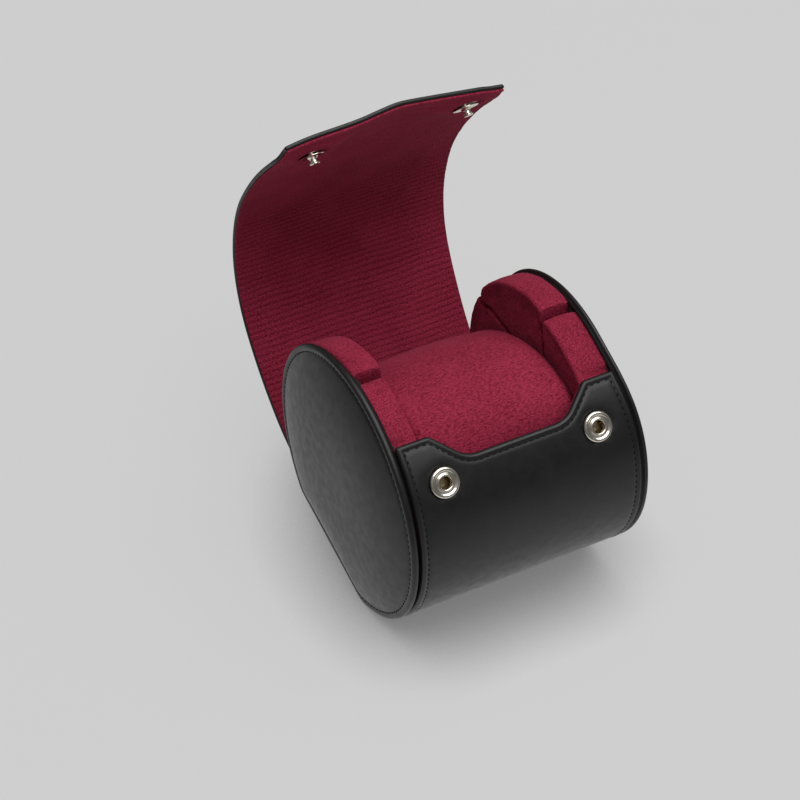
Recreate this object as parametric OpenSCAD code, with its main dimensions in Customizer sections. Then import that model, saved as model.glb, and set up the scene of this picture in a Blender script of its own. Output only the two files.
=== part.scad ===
// Round travel case for one watch, a leather roll that stands open with its flap thrown back.
// Millimetres. +X runs along the roll's axis to the right end, +Y to the back, +Z up.
// The origin lies on the floor, at the middle of the flat that the bottom rests on.

/* [Roll] */
// Radius over the leather
roll_r = 45; // [42:0.5:50]
// Width of the wrap between the two ends
wrap_w = 73; // [68:0.5:80]
// Depth of the flat pressed into the round bottom
rest_flat = 0.5; // [0.2:0.1:0.5]
// Angle that the open roll leans back through before it balances
lean = 31; // [25:1:35]
// Thickness of the outer leather
leather_t = 1; // [0.8:0.1:1.2]
// Thickness of the stiffener that keeps the wrap round
board_t = 1.2; // [0.8:0.1:1.5]
// Thickness of the suede lining
lining_t = 0.8; // [0.6:0.1:1]
// Width of the leather turned over each edge
turn_w = 1; // [0.8:0.1:1.5]

/* [Lip] */
// Angle of the tabs' top edge above the front of the upright roll
tab_a = 22; // [18:0.5:26]
// Width of each tab's top edge
tab_w = 10; // [8:0.5:12]
// Depth of the scoop between the tabs
scoop_d = 9.6; // [7:0.2:11]
// Slope of the scoop's sides
scoop_slope = 45; // [35:1:55]
// Radius at the foot of each slope
scoop_foot_r = 9; // [4:0.5:10]
// Radius where each slope meets its tab
tab_r = 2.5; // [1.5:0.5:3]

/* [Ends] */
// Gap between the wrap and each end
end_gap = 0.3; // [0.2:0.1:0.5]
// Thickness of an end's rim
rim_t = 2.4; // [2:0.1:3]
// Height of the padded crown over the rim
crown_h = 3; // [2:0.2:4]
// Width of the stitched margin round the crown
margin_w = 4; // [3:0.2:5]
// Thickness of the end board
end_board_t = 1.4; // [1:0.1:1.6]

/* [Pads] */
// Thickness of the suede-covered pad inside each end
pad_t = 8.6; // [7:0.2:10]
// Radius of the raised arch at the top of a pad
arch_r = 44; // [43.5:0.1:44.4]
// Radius of a pad in front of its arch
front_r = 42.8; // [42.5:0.1:43]
// Radius of a pad behind its arch
back_r = 43.6; // [43:0.1:44]
// Half of the angle that the arch spans
arch_half_a = 30; // [26:1:34]
// Angle over which a pad rises behind the flap's root, so that the closed flap clears it
ramp_a = 22; // [20:1:30]
// Width of the notch at each end of the arch
notch_w = 1.6; // [1.2:0.1:2]
// Depth of the notch
notch_d = 5; // [3:0.5:6]
// Radius of a pad's inner edge
pad_edge_r = 2; // [1:0.2:3]
// Rise of a pad's inner face from its edge to its middle
pad_crown = 0.6; // [0.2:0.1:1]
// Thickness of a pad's suede and wadding
pad_skin = 0.8; // [0.6:0.1:1.2]

/* [Cushion] */
// Width of the oval cushion from front to back
cushion_w = 76; // [70:1:78]
// Height of the cushion at its ends
cushion_h = 44; // [38:1:46]
// Rise of the cushion's crown at the middle of its length
cushion_crown = 2.4; // [1:0.2:3]
// Radius of the cushion's end edges
cushion_edge_r = 5; // [3:0.5:6]
// How far the cushion's middle lies behind the roll's axis
cushion_back = 2.5; // [1:0.5:3]
// How far the cushion's middle lies above the roll's axis
cushion_up = 6.5; // [5:0.5:7]
// Clearance between the cushion and each pad
cushion_gap = 0.3; // [0.2:0.1:0.5]
// Thickness of the cushion's suede and wadding
cushion_skin = 1.2; // [0.8:0.2:2]

/* [Flap] */
// Angle below the back of the upright roll where the flap begins
hinge_a = 17.5; // [14:0.5:21]
// Length of each of the flap's five equal bending panels
panel_len = 29.4; // [28:0.2:30]
// Length of the end panel that carries the studs
tail_len = 21; // [19:0.5:23]
// Direction of the flap where it leaves the roll, above the floor
flap_start_a = 10; // [6:1:14]
// How far the flap's free edge points out at the middle of its width
point_h = 3.2; // [2:0.2:4]
// Width that the flap gains from its root to its free edge
flare = 3.2; // [2:0.2:4]
// Gap between neighbouring panels
panel_gap = 0.1; // [0.05:0.05:0.2]
// Thickness of the flap's leather, skived so that it bends
flap_leather_t = 0.8; // [0.6:0.1:1]
// Thickness of the flap's interlining
interlining_t = 0.6; // [0.4:0.1:0.8]

/* [Snaps] */
// Distance between the two snaps
snap_pitch = 52.8; // [50:0.2:56]
// Angle of the sockets above the front of the upright roll
snap_a = 3; // [2:0.5:6]
// Distance of the studs from the flap's free edge
stud_setback = 10; // [8:0.5:11]
// Radius of a socket's flange
socket_r = 4.85; // [4.5:0.05:5.2]
// Radius of the hole that takes the stud
socket_hole_r = 1.95; // [1.9:0.05:2.1]
// Radius of a socket's chamber, outside
chamber_r = 3.45; // [3.2:0.05:3.6]
// Height of a socket's rim above the leather
socket_h = 1; // [0.8:0.1:1.1]
// Radius of the spring wire
wire_r = 0.2; // [0.15:0.05:0.25]
// Radius of a stud's head
stud_head_r = 1.7; // [1.5:0.05:1.7]
// Radius of a stud's neck, held between the spring's legs
stud_neck_r = 1.2; // [1:0.05:1.3]
// Radius of a stud's flange
stud_flange_r = 4.2; // [3.8:0.1:4.5]
// Height of a stud over the interlining that it sits on
stud_h = 2.7; // [2.4:0.1:2.8]

/* [Hidden] */
$fn = 96;
wall_t = leather_t + board_t + lining_t;
inner_r = roll_r - wall_t;
axis_z = roll_r - rest_flat;
half_w = wrap_w / 2;
end_x = half_w + end_gap;
rim_x = end_x + rim_t;
margin_r = roll_r - margin_w;
big = 3 * roll_r;
fit = 0.05;
pad_step_a = 7;
shoulder_drop = 0.4;

// Angles round the roll run from +Y over +Z, in the upright roll unless they are named world.
tab_at = 180 - tab_a;
scoop_at = tab_at + asin(scoop_d / roll_r);
lip_mid_at = (tab_at + scoop_at) / 2;
hinge_at = 360 - hinge_a;
snap_at = 180 - snap_a;

// The lip's edge, seen along the roll's radius.
lip_top = roll_r * sin(lip_mid_at - tab_at);
slope_run = scoop_d / tan(scoop_slope);

// The open flap is a chain of arcs; these are the angles that its panels turn through.
panel_turn = [28, 18, 38, 28, 11, 1];
panel_count = len(panel_turn);
flap_len = 5 * panel_len + tail_len;
hinge_world_a = hinge_at - lean;
hinge_point = inner_r * [cos(hinge_world_a), sin(hinge_world_a)];
wrap_end_a = hinge_world_a + 90 - 360;
mitre_a = (wrap_end_a + flap_start_a) / 2;
flap_root_half = half_w - 0.2;
post_r = stud_neck_r - 0.2;
post_cap_t = 0.3;
stud_seat = fit / 2;

// Sheet metal of the snaps, their bases, a flange's depth in the leather, and the corners of the rims.
metal_t = 0.3;
base_t = 0.2;
flange_depth = 0.35;
rim_edge = 0.25;

leather_col = "#222222";
board_col = "#8a8378";
suede_col = "#8a2139";
foam_col = "#d8cfa8";
nickel_col = "#c9c3b4";

function unit(v) = v / norm(v);

// Points on the arc of radius r that rounds the corner b between a and c.
function corner(a, b, c, r, steps = 5) =
    let (u = unit(a - b), v = unit(c - b),
        half = acos(u * v) / 2,
        mid = b + unit(u + v) * r / sin(half),
        from = atan2((b + u * r / tan(half) - mid)[1], (b + u * r / tan(half) - mid)[0]),
        to = atan2((b + v * r / tan(half) - mid)[1], (b + v * r / tan(half) - mid)[0]),
        turn = to - from > 180 ? to - from - 360 : to - from < -180 ? to - from + 360 : to - from)
    [for (i = [0:steps]) mid + r * [cos(from + turn * i / steps), sin(from + turn * i / steps)]];

// The flap's panels: length, arc radius, heading and corner points of the lining face.
function len_of(k) = k < panel_count - 1 ? panel_len : tail_len;
function radius_of(k) = len_of(k) / (panel_turn[k] * PI / 180);
function heading(k) = k == 0 ? flap_start_a : heading(k - 1) + panel_turn[k - 1];
function joint_at(k) = k == 0 ? hinge_point : joint_at(k - 1)
    + radius_of(k - 1) * [sin(heading(k)) - sin(heading(k - 1)), cos(heading(k - 1)) - cos(heading(k))];
function run_to(k) = k * panel_len;
function flap_half(run) = flap_root_half + flare / 2 * run / flap_len;

// Shapes are drawn in the upright roll about its axis, and this leans them back and lifts them.
module leaned() {
    translate([0, 0, axis_z]) rotate([-lean, 0, 0]) children();
}

// Takes a Y-Z outline's plane to the XY plane's place: children are drawn with z along X.
module across() {
    rotate([90, 0, 90]) children();
}

module tube_sector(r_in, r_out, from, to, half) {
    across() rotate([0, 0, from]) rotate_extrude(angle = to - from)
        translate([r_in, -half]) square([r_out - r_in, 2 * half]);
}

// Puts children on the roll at an angle, with +z outwards and +y towards the mouth.
module on_roll(at, r) {
    rotate([at - 90, 0, 0]) translate([0, 0, r]) children();
}

// A closed skin over rings of equally many points.
module loft(rings) {
    n = len(rings[0]);
    m = len(rings);
    polyhedron(points = [for (ring = rings) each ring], faces = concat(
        [for (i = [1:n - 2]) [0, i, i + 1]],
        [for (i = [1:n - 2]) [(m - 1) * n, (m - 1) * n + i + 1, (m - 1) * n + i]],
        [for (j = [0:m - 2]) for (i = [0:n - 1]) let (a = j * n + i, b = j * n + (i + 1) % n)
            each [[a, a + n, b], [b, a + n, b + n]]]));
}

module floor_cut() {
    translate([-big, -big, -big]) cube([2 * big, 2 * big, big]);
}

// ---------------------------------------------------------------- wrap

function lip_edge(inset) =
    let (top = lip_top - inset, foot = lip_top - scoop_d - inset,
        shift = inset * tan(scoop_slope / 2),
        x_side = half_w - inset, x_tab = half_w - tab_w + shift, x_foot = x_tab - slope_run,
        left = concat([[-half_w - 1, big / 2], [-half_w - 1, top - 1]],
            corner([-x_side - fit, -big], [-x_side - fit, top], [0, top], 1, 3),
            corner([-x_side, top], [-x_tab, top], [-x_foot, foot], tab_r - inset * 0.5),
            corner([-x_tab, top], [-x_foot, foot], [0, foot], scoop_foot_r + inset)))
    concat(left, [for (i = [len(left) - 1:-1:0]) [-left[i][0], left[i][1]]]);

module wrap_layer(r_in, r_out, inset) {
    difference() {
        leaned() difference() {
            tube_sector(r_in, r_out, tab_at - 4, hinge_at + 4, half_w - inset);
            on_roll(lip_mid_at, roll_r / 2) linear_extrude(roll_r) polygon(lip_edge(inset));
        }
        translate([0, hinge_point[0], axis_z + hinge_point[1]]) rotate([mitre_a, 0, 0])
            translate([-big / 2, 0, -big / 4]) cube([big, big, big / 2]);
        floor_cut();
    }
}

module at_snap(side) {
    leaned() on_roll(snap_at, roll_r) translate([side * snap_pitch / 2, 0, 0]) children();
}

module socket_bores() {
    for (side = [-1, 1]) at_snap(side) {
        translate([0, 0, -leather_t - board_t]) cylinder(r = chamber_r + fit, h = big / 20);
        translate([0, 0, -flange_depth]) cylinder(r = socket_r + fit, h = 2 * leather_t);
    }
}

module wrap_leather() {
    color(leather_col) difference() {
        wrap_layer(inner_r + lining_t, roll_r, 0);
        wrap_layer(inner_r, roll_r - leather_t, turn_w);
        socket_bores();
    }
}

module wrap_board() {
    color(board_col) difference() {
        wrap_layer(inner_r + lining_t, roll_r - leather_t, turn_w);
        socket_bores();
    }
}

module wrap_lining() {
    color(suede_col) wrap_layer(inner_r, inner_r + lining_t, 0.3);
}

// ---------------------------------------------------------------- ends

// Height of the crown over the rim's plane at radius r.
function crown(r) = r > margin_r ? 0 : crown_h * (1 - pow(r / margin_r, 2));
function crown_points(out) = [for (i = [0:12]) let (r = margin_r * (1 - i / 12)) [r, rim_x + crown(r) + out]];

module end_turned(points, side) {
    difference() {
        translate([0, 0, axis_z]) mirror([side < 0 ? 1 : 0, 0, 0])
            rotate([0, 90, 0]) rotate_extrude() polygon(points);
        floor_cut();
    }
}

module end_cover(side) {
    rim_in = roll_r - leather_t - 0.1;
    color(leather_col) end_turned(concat(
        [[0, rim_x + crown_h - leather_t]],
        [[0, rim_x + crown_h]],
        [for (i = [12:-1:0]) crown_points(0)[i]],
        corner([margin_r, rim_x], [roll_r, rim_x], [roll_r, end_x], 0.8, 4),
        corner([roll_r, rim_x], [roll_r, end_x], [rim_in, end_x], 0.4, 3),
        [[rim_in, end_x], [rim_in, end_x + end_board_t]],
        [for (p = crown_points(-leather_t)) p]), side);
}

module end_foam(side) {
    color(foam_col) end_turned(concat(
        [[0, end_x + end_board_t], [margin_r, end_x + end_board_t]],
        [for (p = crown_points(-leather_t)) p]), side);
}

module end_board(side) {
    color(board_col) end_turned([[0, end_x], [roll_r - leather_t - 0.15, end_x],
        [roll_r - leather_t - 0.15, end_x + end_board_t], [0, end_x + end_board_t]], side);
}

// ---------------------------------------------------------------- pads

// A pad's outline: angles round the upright roll, and the radius at each.
root_at = hinge_at - 360;
front_at = 90 + arch_half_a;
back_at = 90 - arch_half_a;
notch_a = notch_w / 2 / arch_r * 180 / PI;
shoulder_a = 2.5 * notch_a;
under_r = inner_r - 2 * fit;
pad_profile = [
    [root_at, under_r], [root_at + ramp_a, back_r],
    [back_at - shoulder_a, back_r], [back_at - notch_a, back_r - shoulder_drop], [back_at, arch_r - notch_d],
    [back_at + notch_a, arch_r - shoulder_drop], [back_at + shoulder_a, arch_r],
    [front_at - shoulder_a, arch_r], [front_at - notch_a, arch_r - shoulder_drop], [front_at, arch_r - notch_d],
    [front_at + notch_a, front_r - shoulder_drop], [front_at + shoulder_a, front_r],
    [tab_at - 1, front_r], [tab_at, under_r], [hinge_at, under_r]];
pad_angles = [for (i = [0:len(pad_profile) - 2])
    let (from = pad_profile[i][0], to = pad_profile[i + 1][0], steps = ceil((to - from) / pad_step_a))
    for (j = [0:steps - 1]) from + (to - from) * j / steps];

function round_ring(x, r) = [for (a = pad_angles) [x, r * cos(a), r * sin(a)]];
function pad_ring(x, inset, share = 1) =
    [for (a = pad_angles) let (r = (lookup(a, pad_profile) - inset) * share) [x, r * cos(a), r * sin(a)]];

// Rings from the crowned inner face, round its edge and out to the end board.
module pad_form(inset) {
    face = end_x - pad_t + inset;
    edge = pad_edge_r;
    leaned() loft(concat(
        [round_ring(face, roll_r / 8), pad_ring(face + pad_crown / 3, inset + edge, 0.6)],
        [for (a = [90:-30:0]) pad_ring(face + pad_crown + edge * (1 - sin(a)), inset + edge * (1 - cos(a)))],
        [pad_ring(end_x - inset, inset), round_ring(end_x - inset, roll_r / 8)]));
}

module pad_cover(side) {
    color(suede_col) mirror([side < 0 ? 1 : 0, 0, 0]) difference() {
        pad_form(0);
        pad_form(pad_skin);
    }
}

module pad_foam(side) {
    color(foam_col) mirror([side < 0 ? 1 : 0, 0, 0]) pad_form(pad_skin);
}

// ---------------------------------------------------------------- sockets

// From the hole outwards: a raised ring, a dished ring, the rolled rim, and the chamber under the flange.
module socket_shell(side) {
    ring_r = socket_hole_r + 2 * rim_edge;
    chamber_foot = base_t - leather_t - board_t;
    color(nickel_col) at_snap(side) rotate_extrude(convexity = 4) polygon([
        [socket_hole_r, rim_edge], [socket_hole_r, socket_h - rim_edge], [socket_hole_r + rim_edge, socket_h],
        [ring_r + rim_edge, socket_h], [ring_r + 2 * rim_edge, socket_h - rim_edge],
        [socket_r - 1, socket_h - metal_t], [socket_r - metal_t, socket_h - metal_t - 2 * rim_edge],
        [socket_r, -rim_edge / 2], [socket_r, -flange_depth], [chamber_r, -flange_depth],
        [chamber_r, chamber_foot], [chamber_r - metal_t, chamber_foot],
        [chamber_r - metal_t, rim_edge]]);
}

// The two legs of the spring, spread as far as a passing stud's head spreads them.
module socket_spring(side) {
    leg_x = stud_head_r + wire_r + fit;
    leg_half = sqrt(pow(chamber_r - metal_t, 2) - pow(leg_x + wire_r, 2)) - fit;
    color(nickel_col) at_snap(side) for (leg = [-1, 1])
        translate([leg * leg_x, leg_half, rim_edge - 2 * wire_r]) rotate([90, 0, 0])
            cylinder(r = wire_r, h = 2 * leg_half, $fn = 16);
}

module socket_base(side) {
    color(nickel_col) at_snap(side) translate([0, 0, -leather_t - board_t])
        cylinder(r = chamber_r, h = base_t);
}

// ---------------------------------------------------------------- flap

// Puts children at panel k's first corner with +y along its chord and +z to the lining's side.
module on_panel(k, heading_a) {
    translate([0, joint_at(k)[0], axis_z + joint_at(k)[1]]) rotate([heading_a, 0, 0]) children();
}

// The panel's outline, seen square to its chord; the tail's free edge comes to a blunt point.
function panel_outline(k, inset) =
    let (start = run_to(k), over = 4,
        near = flap_half(start - over) - inset, far = flap_half(start + len_of(k) + over) - inset)
    k < panel_count - 1
        ? [[-near, -over], [near, -over], [far, len_of(k) + over], [-far, len_of(k) + over]]
        : let (edge = tail_len - inset, w = flap_half(flap_len) - inset)
            concat([[-near, -over], [near, -over]],
                corner([w, 0], [w, edge], [0, edge + point_h], 1, 3),
                corner([w, edge], [0, edge + point_h], [-w, edge], 12, 5),
                corner([0, edge + point_h], [-w, edge], [-w, 0], 1, 3));

// A layer of panel k between two depths under its lining face, less inset at its edges.
module panel_layer(k, depth, thick, inset) {
    r = radius_of(k);
    reach = k == panel_count - 1 ? (tail_len + 2 * point_h) / tail_len : 1;
    gap_angle = panel_gap / r * 180 / PI;
    intersection() {
        on_panel(k, heading(k)) translate([0, 0, r]) across() rotate([0, 0, gap_angle - 90])
            rotate_extrude(angle = panel_turn[k] * reach - gap_angle, $fn = 360)
                translate([r + depth, -big / 2]) square([thick, big]);
        on_panel(k, heading(k) + panel_turn[k] / 2) translate([0, 0, -big / 8])
            linear_extrude(big / 4) polygon(panel_outline(k, inset));
        if (k == 0) translate([0, hinge_point[0], axis_z + hinge_point[1]])
            rotate([mitre_a, 0, 0]) translate([-big / 2, panel_gap / 2, -big / 4]) cube([big, big, big / 2]);
    }
}

// Puts children on the interlining of the end panel, with +z to the lining's side.
module at_stud(side) {
    k = panel_count - 1;
    run = tail_len - stud_setback;
    half_turn = panel_turn[k] * run / tail_len / 2;
    on_panel(k, heading(k) + half_turn) translate([side * snap_pitch / 2, run, -lining_t])
        rotate([half_turn, 0, 0]) children();
}

module flap_leather(k) {
    color(leather_col) difference() {
        panel_layer(k, lining_t, flap_leather_t + interlining_t, 0);
        panel_layer(k, lining_t - 1, interlining_t + 1, turn_w);
        if (k == panel_count - 1) for (side = [-1, 1]) at_stud(side)
            translate([0, 0, -interlining_t - post_cap_t - fit]) cylinder(r = stud_flange_r, h = 1);
    }
}

module flap_interlining(k) {
    color(foam_col) difference() {
        panel_layer(k, lining_t, interlining_t, turn_w);
        if (k == panel_count - 1) for (side = [-1, 1]) at_stud(side)
            translate([0, 0, -interlining_t - 1]) cylinder(r = post_r + fit, h = 3);
    }
}

module flap_lining(k) {
    color(suede_col) difference() {
        panel_layer(k, 0, lining_t, 0.4);
        if (k == panel_count - 1) for (side = [-1, 1]) at_stud(side)
            cylinder(r = socket_r + 0.35, h = 3);
    }
}

// From the flange up: a dished collar, the neck that the spring holds, and the head.
module stud(side) {
    neck_low = 1.2;
    neck_high = stud_h - 0.8;
    color(nickel_col) at_stud(side) translate([0, 0, stud_seat]) rotate_extrude() polygon([
        [0, 0], [stud_flange_r, 0], [stud_flange_r, metal_t / 2], [stud_flange_r - metal_t, metal_t],
        [stud_neck_r + 2 * metal_t, metal_t + fit], [stud_neck_r + fit, neck_low - metal_t],
        [stud_neck_r, neck_low], [stud_neck_r, neck_high], [stud_head_r, neck_high + metal_t],
        [stud_head_r, stud_h - metal_t], [stud_head_r - metal_t, stud_h], [0, stud_h]]);
}

// The rivet that holds a stud, hidden between the interlining and the leather.
module stud_post(side) {
    color(nickel_col) at_stud(side) {
        translate([0, 0, -interlining_t - post_cap_t - stud_seat])
            cylinder(r = stud_flange_r - fit, h = post_cap_t);
        translate([0, 0, -interlining_t - fit]) cylinder(r = post_r, h = interlining_t + fit + stud_seat);
    }
}

// ---------------------------------------------------------------- cushion

// Rings from the left end to the right: the crown swells the middle, an arc rounds each end.
module cushion_form(inset) {
    half_len = end_x - pad_t - cushion_gap - inset;
    edge = cushion_edge_r;
    points = 36;
    stations = concat(
        [for (a = [90:-30:0]) [-(half_len - edge + edge * sin(a)), edge * (1 - cos(a))]],
        [for (i = [-2:2]) [i * (half_len - edge) / 3, 0]],
        [for (a = [0:30:90]) [half_len - edge + edge * sin(a), edge * (1 - cos(a))]]);
    leaned() translate([0, cushion_back, cushion_up]) loft([for (s = stations)
        let (swell = cushion_crown * (1 - pow(s[0] / half_len, 2)) - s[1] - inset)
        [for (i = [0:points - 1]) let (a = 360 * i / points)
            [s[0], (cushion_w / 2 + swell * 0.4) * cos(a), (cushion_h / 2 + swell) * sin(a)]]]);
}

module cushion_cover() {
    color(suede_col) difference() {
        cushion_form(0);
        cushion_form(cushion_skin);
    }
}

module cushion_core() {
    color(foam_col) cushion_form(cushion_skin);
}

// ---------------------------------------------------------------- nodes

wrap_leather();
wrap_board();
wrap_lining();
end_cover(-1);  // end_cover_left
end_cover(1);  // end_cover_right
end_foam(-1);  // end_foam_left
end_foam(1);  // end_foam_right
end_board(-1);  // end_board_left
end_board(1);  // end_board_right
pad_cover(-1);  // pad_cover_left
pad_cover(1);  // pad_cover_right
pad_foam(-1);  // pad_foam_left
pad_foam(1);  // pad_foam_right
socket_shell(-1);  // socket_shell_left
socket_shell(1);  // socket_shell_right
socket_spring(-1);  // socket_spring_left
socket_spring(1);  // socket_spring_right
socket_base(-1);  // socket_base_left
socket_base(1);  // socket_base_right
flap_leather(0);  // flap_leather_1
flap_leather(1);  // flap_leather_2
flap_leather(2);  // flap_leather_3
flap_leather(3);  // flap_leather_4
flap_leather(4);  // flap_leather_5
flap_leather(5);  // flap_leather_6
flap_interlining(0);  // flap_interlining_1
flap_interlining(1);  // flap_interlining_2
flap_interlining(2);  // flap_interlining_3
flap_interlining(3);  // flap_interlining_4
flap_interlining(4);  // flap_interlining_5
flap_interlining(5);  // flap_interlining_6
flap_lining(0);  // flap_lining_1
flap_lining(1);  // flap_lining_2
flap_lining(2);  // flap_lining_3
flap_lining(3);  // flap_lining_4
flap_lining(4);  // flap_lining_5
flap_lining(5);  // flap_lining_6
stud(-1);  // stud_left
stud(1);  // stud_right
stud_post(-1);  // stud_post_left
stud_post(1);  // stud_post_right
cushion_cover();
cushion_core();
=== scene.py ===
"""Looks of the watch travel case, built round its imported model.

Lengths are in millimetres until a mesh is made, and angles in degrees. Angles round the roll run from +Y
over +Z in the upright roll, which then leans back. The leather, the board and the suede of the drum and the
flap are one strip: a place on it is x across, a run along the suede's face from the hinge, and a depth below
that face.
"""

import math

import bpy
import numpy as np
from mathutils import Matrix, Vector


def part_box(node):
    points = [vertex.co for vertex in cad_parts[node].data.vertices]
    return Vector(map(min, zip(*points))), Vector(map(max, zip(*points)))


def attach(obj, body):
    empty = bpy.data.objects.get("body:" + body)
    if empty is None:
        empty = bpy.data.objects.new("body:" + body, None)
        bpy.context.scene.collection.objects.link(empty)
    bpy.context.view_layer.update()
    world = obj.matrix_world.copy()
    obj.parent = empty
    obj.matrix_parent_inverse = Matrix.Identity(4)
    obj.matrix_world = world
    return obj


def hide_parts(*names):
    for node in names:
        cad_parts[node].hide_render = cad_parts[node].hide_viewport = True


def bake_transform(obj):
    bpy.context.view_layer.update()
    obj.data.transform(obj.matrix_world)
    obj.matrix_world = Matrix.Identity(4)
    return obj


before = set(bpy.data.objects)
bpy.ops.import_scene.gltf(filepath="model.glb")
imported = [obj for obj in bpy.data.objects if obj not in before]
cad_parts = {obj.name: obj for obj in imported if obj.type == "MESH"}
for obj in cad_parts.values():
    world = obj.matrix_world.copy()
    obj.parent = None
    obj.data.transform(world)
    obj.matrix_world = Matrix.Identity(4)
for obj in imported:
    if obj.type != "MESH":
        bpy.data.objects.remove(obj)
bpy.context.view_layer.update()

MM = 0.001

# Farther than any distance that matters
FAR = 99.0


def node_box(node):
    """Lowest and highest corner of a node of the frame, in millimetres."""
    low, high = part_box(node)
    return np.array(low) / MM, np.array(high) / MM


# ---- sizes

# The roll: its outside comes from the frame
end_low, end_high = node_box("end_cover_right")
ROLL_R = (end_high[1] - end_low[1]) / 2
AXIS_Z = end_high[2] - ROLL_R
END_X = end_low[0]
HALF_W = node_box("wrap_leather")[1][0]
LEAN = 31
WALL_T = 3.0
INNER_R = ROLL_R - WALL_T
LINING_T = 0.8

# The drum's round is pressed flat behind its foot, and its sides are drawn out: the left one evenly, and the
# right one where it bulges at the front
FLAT_AT = math.radians(-73)
FLAT_D = 39.2
FLAT_SOFT = 0.45
LEFT_SPREAD = 1.4
RIGHT_SPREAD = 2.8
SPREAD_FROM, SPREAD_TO = 29.5, 34
BULGE_FROM = 18

# Ends and pads don't follow the flat inside this radius
FOLLOW_FROM = 12

# The front lip, seen along the roll's radius
TAB_AT = 158
TAB_W = 10
SCOOP_D = 9.6
SCOOP_SLOPE = 45
SCOOP_FOOT_R = 9
TAB_R = 2.5
LIP_MID_AT = TAB_AT + math.degrees(math.asin(SCOOP_D / ROLL_R)) / 2
LIP_TOP = ROLL_R * math.sin(math.radians(LIP_MID_AT - TAB_AT))
LIP_FOOT = LIP_TOP - SCOOP_D
TAB_X = HALF_W - TAB_W
FOOT_X = TAB_X - SCOOP_D / math.tan(math.radians(SCOOP_SLOPE))

# The flap, in panels that each turn evenly
HINGE_AT = 342.5
FLAP_START = 10
PANEL_TURN = (28, 18, 38, 28, 11, 1)
PANEL_LEN = 29.4
TAIL_LEN = 21
FLAP_LEN = 5 * PANEL_LEN + TAIL_LEN
FLAP_T = 2.2
ROOT_HALF = 36.3
FLARE = 3.2
POINT_H = 3.2

# Runs where the wall starts to turn into the flap, and where it has the flap's width and thickness
FOLD_FROM = -14
NARROW_AT = 2
THIN_AT = 6

# Stitches, and the groove that they lie in
STITCH_INSET = 2.3
STITCH_PITCH = 2.15
STITCH_LEN = 1.3
THREAD_W, THREAD_H = 0.27, 0.18
THREAD_UP = 0.02
THREAD_SINK = 0.12
TIP_SINK = 0.1
GROOVE_W = 0.5
GROOVE_D = 0.2
FLAP_GROOVE_D = 0.14

# Snaps
SNAP_X = 26.4
SNAP_AT = 177
STUD_RUN = FLAP_LEN - 10
SOCKET_R = 4.85


# ---- meshes


def add(name, data):
    """A new object of the scene."""
    made = bpy.data.objects.new(name, data)
    bpy.context.scene.collection.objects.link(made)
    return made


def unit(vectors):
    """The same directions, each of length 1."""
    return vectors / np.linalg.norm(vectors, axis=-1)[..., None]


def once_round(count):
    """Even angles once round."""
    return np.linspace(0, 2 * np.pi, count, endpoint=False)


def ease(value, start, end):
    """0 before start, 1 after end, and a smooth S between them."""
    share = np.clip((value - start) / (end - start), 0, 1)
    return share * share * (3 - 2 * share)


def lumps(points, size, seed):
    """Soft noise from -1 to 1: seeded values on a cubic lattice of that size, eased between corners."""
    side = 32
    values = np.random.default_rng(seed).uniform(-1, 1, (side, side, side))
    cell = np.floor(points / size).astype(int)
    share = ease(points / size - cell, 0, 1)
    total = np.zeros(points.shape[:-1])
    for corner in np.ndindex(2, 2, 2):
        pick = (cell + corner) % side
        weight = np.prod(np.where(corner, share, 1 - share), axis=-1)
        total += weight * values[pick[..., 0], pick[..., 1], pick[..., 2]]
    return total


def piece(name, points, faces, material, uv=None, sharp=None, valley_and_painted_shade=None):
    """A smooth closed mesh of points in millimetres, its faces turned outwards by the sign of its volume.

    uv is in millimetres and kept in metres. Edges between two points marked sharp stay crisp. A value per
    point is kept for the pile, whose colour is painted darker where it is high: painted shade.
    """
    mesh = bpy.data.meshes.new(name)
    mesh.from_pydata((points * MM).tolist(), [], faces)
    mesh.update()
    mesh.calc_loop_triangles()
    corners = np.zeros(len(mesh.loop_triangles) * 3, np.int32)
    mesh.loop_triangles.foreach_get("vertices", corners)
    a, b, c = points[corners.reshape(-1, 3)].transpose(1, 0, 2)
    if np.einsum("ij,ij->", a, np.cross(b, c)) < 0:
        mesh.flip_normals()
    mesh.polygons.foreach_set("use_smooth", np.ones(len(mesh.polygons), bool))
    if uv is not None:
        vertex = np.zeros(len(mesh.loops), np.int32)
        mesh.loops.foreach_get("vertex_index", vertex)
        layer = mesh.uv_layers.new(name="strip")
        layer.data.foreach_set("uv", (uv[vertex] * MM).astype(np.float32).ravel())
    # Painted shade: a per-point value by which the pile's colour is darkened in valleys, seams, notches and
    # creases
    if valley_and_painted_shade is not None:
        depth = mesh.attributes.new("valley_and_painted_shade", "FLOAT", "POINT")
        depth.data.foreach_set("value", valley_and_painted_shade.astype(np.float32))
    if sharp is not None:
        ends = np.zeros(len(mesh.edges) * 2, np.int32)
        mesh.edges.foreach_get("vertices", ends)
        ends = ends.reshape(-1, 2)
        crisp = mesh.attributes.new("sharp_edge", "BOOLEAN", "EDGE")
        crisp.data.foreach_set("value", sharp[ends[:, 0]] & sharp[ends[:, 1]])
    mesh.materials.append(material)
    return add(name, mesh)


def grid_faces(at, around=False):
    """Quads over a grid of point numbers, closed round its columns if asked."""
    if around:
        at = np.concatenate([at, at[:, :1]], axis=1)
    quads = np.stack([at[:-1, :-1], at[:-1, 1:], at[1:, 1:], at[1:, :-1]], axis=-1)
    return quads.reshape(-1, 4).tolist()


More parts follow.
